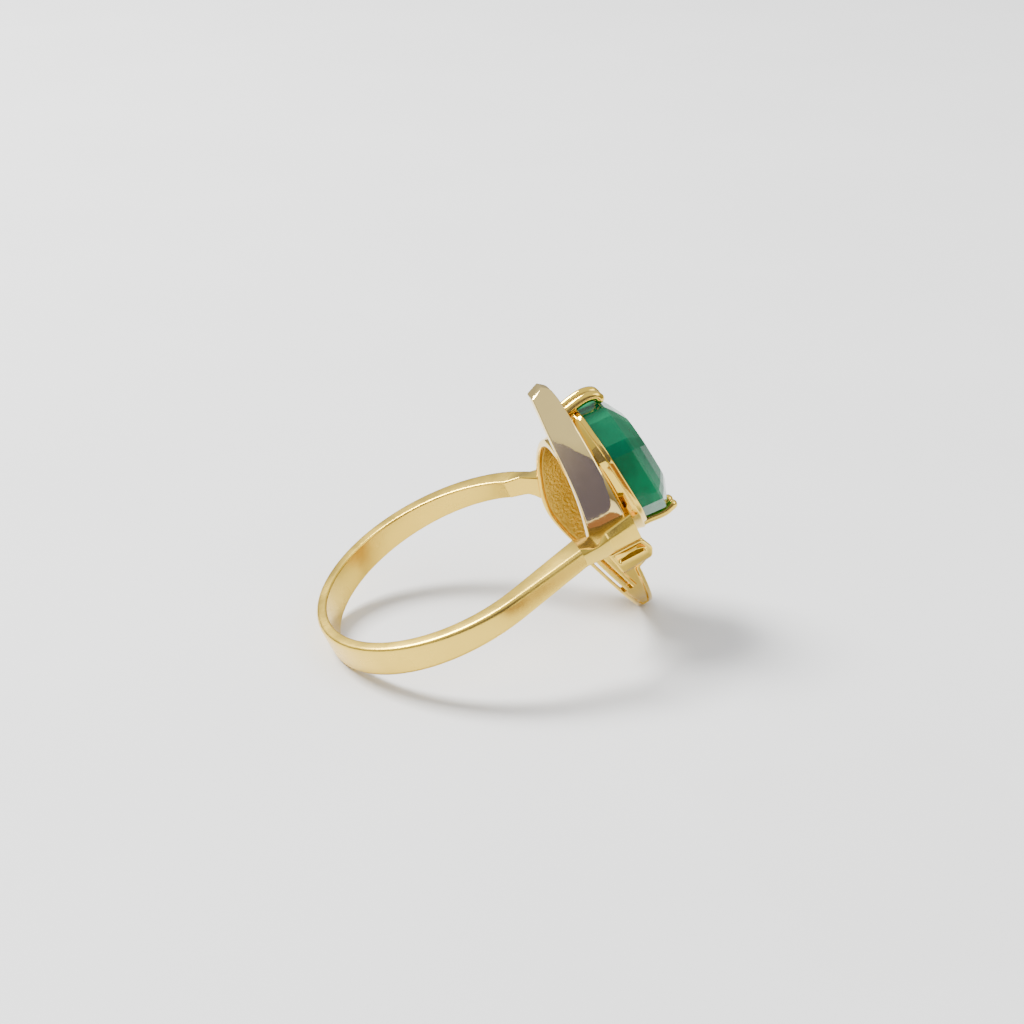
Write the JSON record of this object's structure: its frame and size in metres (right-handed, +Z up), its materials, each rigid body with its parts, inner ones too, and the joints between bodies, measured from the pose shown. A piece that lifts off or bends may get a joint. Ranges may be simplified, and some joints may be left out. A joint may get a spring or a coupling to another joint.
{
  "type": "cocktail ring",
  "caption": "yellow gold cocktail ring with a pointed leaf-shaped head, clawed prongs and a long green faceted stone, resting on its shank and the lower tip of its head",
  "frame": {"origin": "the centre of the bounding box, on the surface that the ring rests on", "axes": "+X runs from the back of the hoop towards the stone along the surface, which is the longest extent; +Z is up; -Y is the side of the polished wing"},
  "size_m": [0.0254, 0.0196, 0.0172],
  "materials": {
    "polished_gold": "mirror polished yellow gold",
    "satin_gold": "softly polished yellow gold with fine wear lines",
    "textured_gold": "grained matt yellow gold",
    "green_stone": "faceted slightly cloudy green stone"
  },
  "bodies": {
    "root": {"gemstone": "green_stone", "collet": "polished_gold", "seat_rim": "polished_gold", "shank": "satin_gold", "upper_wing": "polished_gold", "lower_wing": "satin_gold", "outer_rail": "satin_gold", "inner_rail": "satin_gold", "step_block": "satin_gold", "far_wing": "textured_gold", "back_rim": "polished_gold", "near_shoulder": "satin_gold", "far_shoulder": "satin_gold", "gallery_plate": "textured_gold", "upper_near_prong": "polished_gold", "upper_far_prong": "polished_gold", "lower_near_prong": "polished_gold", "lower_far_prong": "polished_gold"}
  },
  "joints": []
}
